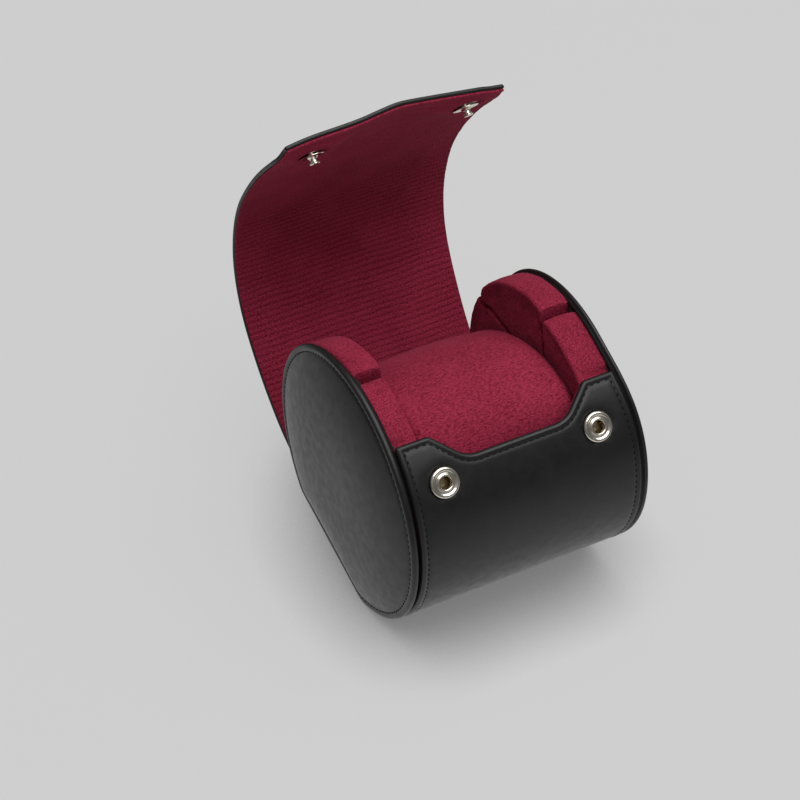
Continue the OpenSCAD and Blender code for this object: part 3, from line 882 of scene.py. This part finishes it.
def make_pad(name, side):
    """A suede pad: rings over its crowned inner face, round its edge and out to the end.

    The rings are round inside the core, and beyond it they slide to the pad's outline. The face is pulled in
    along the seams, and shade is painted darker on the pile there, in the notches and on the turn of the
    edge.
    """
    angle = pad_angles()
    outline = pad_radius(angle)
    core = 36.0
    inner, slide = core * np.linspace(0.02, 1, 56), np.linspace(0, 1, 9)[1:]
    radius = [np.full(len(angle), at) for at in inner]
    radius += [core + (outline - PAD_EDGE - core) * share for share in slide]
    x = list(PAD_FACE[side] + PAD_CROWN * (np.append(inner, core + 6 * slide) / ROLL_R) ** 2)
    edge_x = x[-1]
    for turn in np.radians(np.arange(80, -1, -10)):
        radius.append(outline - PAD_EDGE * (1 - math.cos(turn)))
        x.append(edge_x + PAD_EDGE * (1 - math.sin(turn)))
    side_x = x[-1]
    block = ease(angle, FRONT_NOTCH + 1.5, FRONT_NOTCH + 5) * (1 - ease(angle, TAB_AT - 4, TAB_AT))
    for share in np.linspace(0, 1, 12)[1:]:
        full = outline + 0.25 * math.sin(math.pi * share) - 0.5 * ease(share, 0.8, 1)
        radius.append(full + BLOCK_RISE * share * block)
        x.append(side_x + (PAD_BACK - side_x) * share)
    radius.append(np.full(len(angle), core))
    x.append(PAD_BACK)
    radius, x = np.array(radius), np.array(x)[:, None]
    world = np.radians(angle - LEAN)
    y, z = radius * np.cos(world), radius * np.sin(world)
    on_face = x < edge_x + 0.5
    seam = np.minimum(line_distance(y, z, FRONT_DART), line_distance(y, z, BACK_DART))
    x = x + on_face * SEAM_D * np.exp(-((seam / SEAM_W) ** 2))
    from_notch = np.minimum(np.abs(angle - FRONT_NOTCH), np.abs(angle - BACK_NOTCH)) + 0 * x
    # Painted shade on the pile along the seams, in the notches and on the turn of the edge
    valley_and_painted_shade = on_face * 1.6 * np.exp(-((seam / 0.7) ** 2))
    valley_and_painted_shade = valley_and_painted_shade + np.exp(-((from_notch / 1.1) ** 2)) * (radius > core)
    edge_turn_painted_shade = np.exp(-(((x - edge_x) / 0.4) ** 2)) * (radius > core + 3)
    valley_and_painted_shade = np.clip(valley_and_painted_shade + 0.5 * edge_turn_painted_shade, 0, 2)
    points = np.stack([side * x, y, AXIS_Z + z], axis=-1)
    on_side = ~on_face * np.ones(y.shape)
    out = np.stack([side * (on_side - 1), on_side * np.cos(world), on_side * np.sin(world)], axis=-1)
    points = points + out * (0.1 * lumps(points, 2.2, 3) + 0.14 * lumps(points, 6, 4))[..., None]
    points[..., 0] = np.clip(points[..., 0], -PAD_BACK, PAD_BACK)
    points = spread(press(points, ease(radius, FOLLOW_FROM, RING_R)))
    made = tube(f"pad_pile_{name}", points, SUEDE, valley_and_painted_shade)
    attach(made, "case")
    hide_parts(f"pad_cover_{name}", f"pad_foam_{name}")


# ---- cushion

CUSHION_W = 76
CUSHION_H = 44
CUSHION_CROWN = 2.4
CUSHION_EDGE = 4
CUSHION_BACK = 2.5
CUSHION_UP = 6.5
CUSHION_GAP = 0.3
CUSHION_HALF = PAD_FACE[-1] - CUSHION_GAP
CUSHION_RIGHT = PAD_FACE[1] - CUSHION_GAP


def make_cushion():
    """The watch cushion: ovals carried along X, swollen in the middle and rounded over at both ends.

    Its right end is drawn in to the right pad, and shade is painted darker on the pile round both ends.
    """
    turn = once_round(400)
    flat = CUSHION_HALF - CUSHION_EDGE
    rounding = np.radians(np.arange(88, -1, -8))
    ends = flat + CUSHION_EDGE * np.sin(rounding)
    x = np.concatenate([-ends, np.linspace(-flat, flat, 90)[1:-1], ends[::-1]])
    over = np.maximum(np.abs(x) - flat, 0)
    drawn = CUSHION_EDGE - np.sqrt(np.maximum(CUSHION_EDGE**2 - over**2, 0))
    swell = CUSHION_CROWN * (1 - (x / CUSHION_HALF) ** 2) - drawn
    back = (CUSHION_W / 2 + 0.4 * swell)[:, None] * np.cos(turn)
    up = (CUSHION_H / 2 + swell)[:, None] * np.sin(turn)
    lean = math.radians(LEAN)
    back, up = back + CUSHION_BACK, up + CUSHION_UP
    y = back * math.cos(lean) + up * math.sin(lean)
    z = AXIS_Z - back * math.sin(lean) + up * math.cos(lean)
    placed = np.where(x > 0, x * CUSHION_RIGHT / CUSHION_HALF, x)
    points = np.stack([placed[:, None] + 0 * y, y, z], axis=-1)
    out = np.stack([0 * y, points[..., 1] - CUSHION_BACK, points[..., 2] - AXIS_Z - CUSHION_UP], axis=-1)
    out = unit(out)
    points = points + out * (0.12 * lumps(points, 3, 7) + 0.3 * lumps(points, 11, 8))[..., None]
    # Painted shade on the pile round both ends, where the cushion meets the pads
    valley_and_painted_shade = 2 * np.exp(-(((CUSHION_HALF - np.abs(x)) / 1.3) ** 2))[:, None]
    made = tube("cushion_pile", points, SUEDE_NAP, valley_and_painted_shade + 0 * y)
    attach(made, "cushion")
    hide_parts("cushion_cover", "cushion_core")


# ---- flap

RIB_PITCH = 1.95
RIB_DEPTH = 0.17
RIB_FADE = (88, 124)
FLAP_STEP = 0.75
LINING_STEP = 0.35
LINING_INSET = 0.4

# Each piece runs from one cut to the next, and the last to the free edge, whose shape its rows take
# on from a level line.
LAST = len(PANEL_TURN) - 1
CUTS = (FOLD_FROM, *(PANEL_LEN * (k + 0.5) for k in range(LAST)))
TIP_LEVEL = -7.0

# The ridge in the middle of the free end, and its turned left corner
RIDGE_H, RIDGE_HALF, RIDGE_FROM = 4.2, 37, 118
CORNER_H, CORNER_FROM = 1.6, 159

# A stud's seat: depth, and the radii between which it rises
STUD_D, STUD_R = 0.7, (4.5, 5.5)


def tip_edge(x):
    """How far the free edge points out: most at the middle, with a blunt turn there."""
    half = ROOT_HALF + FLARE / 2
    return POINT_H * (1 - np.sqrt(x**2 + 4) / math.hypot(half, 2)) + 0.1


def flap_grid(number, edge_r, step, drop):
    """x, run and roundness over one piece of the flap, drawn in by drop at its edges."""
    inset, share = columns(edge_r)
    start = CUTS[number]
    end = CUTS[number + 1] if number < LAST else FLAP_LEN + TIP_LEVEL
    run = np.linspace(start, end, round((end - start) / step) + 1)
    run = np.concatenate([run[:1], [start + CAP_ROW], run[1:-1], [end - CAP_ROW], run[-1:]])
    x = share * (half_width(run)[:, None] - drop - inset)
    rounded = np.repeat(roundness(inset, edge_r)[None], len(run), axis=0)
    run = np.repeat(run[:, None], x.shape[1], axis=1)
    if number == LAST:
        half = half_width(FLAP_LEN) - drop
        tip_x, tip_y, tip_round = shaped_end(
            lambda at: tip_edge(at) - drop, half, inset, share, edge_r, TIP_LEVEL, round(5 / step)
        )
        tip_run = FLAP_LEN + tip_y
        tips = (tip_x * (half_width(tip_run) - drop) / half, tip_run, tip_round)
        x, run, rounded = (np.concatenate([a, b[-2::-1]]) for a, b in zip((x, run, rounded), tips))
    return x, run, rounded


def bend(made):
    """Bakes a piece's placement into its points."""
    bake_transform(made)


def rib(x, run):
    """Depth of the valleys between the ribs in the flap's pile: a narrow bell at each half turn of a sine.

    Soft noise makes them a little unsteady, and they fade to the free edge, where the pile is smooth.
    """
    place = np.stack([x, run, 0 * x], axis=-1)
    turn = np.pi * run / RIB_PITCH + 0.55 * lumps(place, 9, 11) + 0.1 * lumps(place, 3.5, 13)
    amount = (1 - ease(run, *RIB_FADE)) * (0.88 + 0.12 * lumps(place * [0.3, 1, 1], 2.5, 14))
    return amount * np.exp(-((np.sin(turn) / 0.45) ** 2))


def flap_spread(points, run):
    """Draws the flap's sides out in its middle, and in again at the corners of its free edge."""
    x = points[..., 0]
    beyond = FLAP_LEN + 1
    left = LEFT_SPREAD + 0.3 * ease(run, 0, 30) - 1.7 * ease(run, 157, beyond)
    right = ease(run, 30, 65) * (1 - 0.6 * ease(run, 100, 135)) - 2.3 * ease(run, 156, beyond)
    points[..., 0] += ease(np.abs(x), 27.5, SPREAD_TO) * np.where(x < 0, -left, right)
    return points


def bow(x, run):
    """How far the flap's end bows to its leather side: to a ridge in its middle, and at its left corner.

    The ridge falls to both sides along a hyperbola and grows to the free edge. The studs hold it down.
    """
    ridge = RIDGE_H * (1.04 - np.sqrt((x / RIDGE_HALF) ** 2 + 0.006)) * ease(run, RIDGE_FROM, FLAP_LEN)
    corner = CORNER_H * ease(-x, 10, 34) * ease(run, CORNER_FROM, FLAP_LEN)
    past_studs = np.where(run > STUD_RUN, 1.9, 1.0)
    clear = ease(snap_distance(x, run, STUD_RUN, past_studs), 4.5, 17)
    return (np.maximum(ridge, 0) + corner) * clear


def make_flap_leather(number):
    """The leather of one piece of the flap, turned over at its edges, with a groove along them."""
    name = number + 1
    x, run, rounded = flap_grid(number, FLAP_EDGE, FLAP_STEP, 0)
    back, face = wall(run), LINING_T
    middle = (back + face) / 2 + bow(x, run)
    half = (back - face) / 2 * np.sqrt(1 - rounded**2)
    distance = half_width(run) - np.abs(x)
    if number == LAST:
        distance = np.minimum(distance, FLAP_LEN + tip_edge(x) - run)
    dip = groove(distance, FLAP_GROOVE_D) * (half > 0.3)
    outer = flap_spread(on_strip(x, run, middle + half - dip), run)
    inner = flap_spread(on_strip(x, run, middle - half), run)
    made = skin(f"flap_leather_skin_{name}", inner, outer, x, run, rounded, LEATHER_STRIP)
    bend(made)
    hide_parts(f"flap_leather_{name}", f"flap_interlining_{name}")


def make_flap_lining(number):
    """The ribbed suede of one piece of the flap, a little smaller than its leather, with the studs' seats.
    """
    name = number + 1
    x, run, rounded = flap_grid(number, SUEDE_EDGE, LINING_STEP, LINING_INSET)
    half = LINING_T / 2 * np.sqrt(1 - rounded**2)
    from_stud = snap_distance(x, run, STUD_RUN, 1.0)
    dip = STUD_D * (1 - ease(from_stud, *STUD_R)) * (half > 0.3)
    pile = 0.06 * lumps(np.stack([x, run, 0 * x], axis=-1), 1.6, 12) * (half > 0.2)
    # The ribs' valleys: their depth in the pile, and painted shade that darkens the pile in them
    valley_and_painted_shade = rib(x, run) * (half > 0.2)
    middle = LINING_T / 2 + bow(x, run)
    top = flap_spread(on_strip(x, run, middle - half + dip - pile + RIB_DEPTH * valley_and_painted_shade), run)
    bottom = flap_spread(on_strip(x, run, middle + half), run)
    made = skin(f"flap_pile_{name}", top, bottom, x, run, rounded, SUEDE_STRIP, valley_and_painted_shade)
    bend(made)
    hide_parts(f"flap_lining_{name}")


# ---- snaps

# A socket's cap: a rolled rim, a dished ring, a raised ring round the hole, and the chamber below
SOCKET = [
    (3.2, -2.0), (3.45, -2.0), (3.45, -0.35), (SOCKET_R - 0.1, -0.35), (SOCKET_R, -0.2),
    *arc((SOCKET_R - 0.75, 0.05), 0.75, 0, 125, 12),
    (3.4, 0.48), (3.1, 0.46), (2.95, 0.5),
    *arc((2.42, 0.5), 0.45, 25, 165, 10),
    (1.95, 0.4), (1.95, 0.2), (3.15, 0.15), (3.15, -1.9),
]


def make_socket(name, side):
    """A snap socket on the front: its profile turned about the roll's radius and closed upon itself."""
    world = math.radians(SNAP_AT - LEAN)
    out = np.array([0, math.cos(world), math.sin(world)])
    origin = np.array([side * SNAP_X, 0, AXIS_Z]) + ROLL_R * out
    rings = carried(SOCKET, origin, out, np.array([1.0, 0, 0]), 96)
    at = np.arange(rings.shape[0] * rings.shape[1]).reshape(rings.shape[:2])
    at = np.concatenate([at, at[:1]])
    made = piece(f"socket_{name}", rings.reshape(-1, 3), grid_faces(at, around=True), NICKEL)
    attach(made, "case")
    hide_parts(f"socket_shell_{name}")


def make_board(name, side):
    """The stiff disc behind an end's padding, with a bevelled edge, pressed to the drum's flat."""
    inset, bevel = 1.8, 0.3
    low, high = node_box(f"end_board_{name}")
    radius = (high[1] - low[1]) / 2 - inset
    near, far = sorted((abs(low[0]), abs(high[0])))
    edge = [(radius - bevel, far), (radius, far - bevel), (radius, near)]
    profile = [(POLE_R, far), *edge, (POLE_R, near)]
    made = turned(f"end_disc_{name}", profile, side, BOARD_BLACK_AS_SHADE, 160, press)
    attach(made, "case")
    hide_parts(f"end_board_{name}")


def dress_nodes():
    """Gives each node of the frame that still shows its finish."""
    finishes = {"socket_spring": SPRING, "socket_base": SPRING, "stud": NICKEL}
    for name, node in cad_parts.items():
        for start, material in finishes.items():
            if name.startswith(start):
                node.data.materials.clear()
                node.data.materials.append(material)


# ---- stage

# Brightness of the floor and of the glowing sheet, and the sheet's share of what the camera sees
FLOOR = 0.62
SHEET = 0.7
SHEET_SHARE = 0.85

# Depth of the painted contact shadow, and the distances between which the glowing sheet in glossy surfaces
# falls off
PAINTED_SHADOW_DARKEST = 0.34
SHEET_NEAR, SHEET_FAR = 90, 450


def make_camera():
    """A long lens at the photograph's angle, aimed from the roll's axis by a side step and a rise."""
    turn, rise, distance = math.radians(-27.819), math.radians(42.003), 906.196
    step_right, step_up = -19.249, 12.928
    back = Vector((math.sin(turn) * math.cos(rise), -math.cos(turn) * math.cos(rise), math.sin(rise)))
    right = Vector((math.cos(turn), math.sin(turn), 0))
    up = back.cross(right)
    place = Vector((0, 0, AXIS_Z)) + back * distance + right * step_right + up * step_up
    camera = add("camera", bpy.data.cameras.new("camera"))
    camera.data.sensor_width = 36
    camera.data.lens = 129.66
    camera.data.clip_start = 0.05
    axes = Matrix((right, up, back)).transposed().to_4x4()
    camera.matrix_world = Matrix.Translation(place * MM) @ axes
    bpy.context.scene.camera = camera


def make_floor():
    """A plain pale floor, just under the flat that the roll rests on.

    The camera sees mostly a plain pale glowing sheet with a soft contact shadow painted on it by ambient
    occlusion, mixed with the lit and shadowed floor. The glossy leather sees the glowing sheet alone, which
    falls off with distance: a glow that is no lamp.
    """
    mesh = bpy.data.meshes.new("floor")
    half, drop = 3.0, 0.00002
    around = ((-half, -half), (half, -half), (half, half), (-half, half))
    mesh.from_pydata([(x, y, -drop) for x, y in around], [], [(0, 1, 2, 3)])
    pale_grey = (FLOOR, FLOOR, FLOOR, 1)
    made = Finish("pale_floor", Base_Color=pale_grey, Roughness=0.9, Specular_IOR_Level=0.0)
    near = made.nodes.new("ShaderNodeAmbientOcclusion")
    near.samples = 8
    near.inputs["Distance"].default_value = 34 * MM
    seen = made.nodes.new("ShaderNodeLightPath")
    camera, glossy = seen.outputs["Is Camera Ray"], seen.outputs["Is Glossy Ray"]
    # Painted contact shadow: the sheet's glow darkened by ambient occlusion near the roll
    pale = made.range(near.outputs["AO"], PAINTED_SHADOW_DARKEST * FLOOR, FLOOR, 0.3, 0.85)
    reach = made.nodes.new("ShaderNodeVectorMath")
    reach.operation = "LENGTH"
    made.links.new(made.place, reach.inputs[0])
    # Painted light: a glow that only glossy rays see, bright near the middle and fading outwards
    lit = made.range(reach.outputs["Value"], SHEET, 0.2 * SHEET, SHEET_NEAR * MM, SHEET_FAR * MM)
    unseen = made.math("SUBTRACT", 1.0, glossy)
    bright = made.math("ADD", made.math("MULTIPLY", unseen, pale), made.math("MULTIPLY", glossy, lit))
    sheet = made.nodes.new("ShaderNodeEmission")
    made.links.new(bright, sheet.inputs["Strength"])
    share = made.math("MAXIMUM", made.math("MULTIPLY", camera, SHEET_SHARE), glossy)
    mixed = made.nodes.new("ShaderNodeMixShader")
    made.links.new(share, mixed.inputs["Fac"])
    made.links.new(made.shader.outputs["BSDF"], mixed.inputs[1])
    made.links.new(sheet.outputs["Emission"], mixed.inputs[2])
    made.links.new(mixed.outputs["Shader"], made.nodes["Material Output"].inputs["Surface"])
    mesh.materials.append(made.material)
    floor = add("floor", mesh)


def make_light():
    """A broad soft lamp overhead, in a room that is dim at eye level and paler towards its ceiling."""
    world = bpy.data.worlds.new("room")
    bpy.context.scene.world = world
    world.use_nodes = True
    nodes, links = world.node_tree.nodes, world.node_tree.links
    split = nodes.new("ShaderNodeSeparateXYZ")
    links.new(nodes.new("ShaderNodeTexCoord").outputs["Generated"], split.inputs["Vector"])
    dim, pale = 0.1, 0.3
    rise = nodes.new("ShaderNodeMapRange")
    for socket, number in zip(RANGE_SOCKETS, (0.1, 0.9, dim, pale)):
        rise.inputs[socket].default_value = number
    links.new(split.outputs["Z"], rise.inputs["Value"])
    background = nodes["Background"]
    background.inputs["Color"].default_value = (1, 1, 1, 1)
    links.new(rise.outputs["Result"], background.inputs["Strength"])
    lamp = bpy.data.lights.new("overhead", "AREA")
    lamp.shape = "SQUARE"
    lamp.size = 1.8
    lamp.energy = 27.5
    made = add("overhead", lamp)
    made.location = (0.2, -0.25, 1.5)
    aim = Vector((0, 0, 0.05))
    made.rotation_euler = (made.location - aim).to_track_quat("Z", "Y").to_euler()


make_camera()
make_floor()
make_light()
make_wrap()
make_wrap_lining()
make_wrap_stitches()
for end_name, end_side in (("left", -1), ("right", 1)):
    make_end(end_name, end_side)
    make_pad(end_name, end_side)
    make_board(end_name, end_side)
    make_socket(end_name, end_side)
make_cushion()
for piece_number in range(len(PANEL_TURN)):
    make_flap_leather(piece_number)
    make_flap_lining(piece_number)
dress_nodes()

bpy.context.scene.view_settings.view_transform = "Standard"
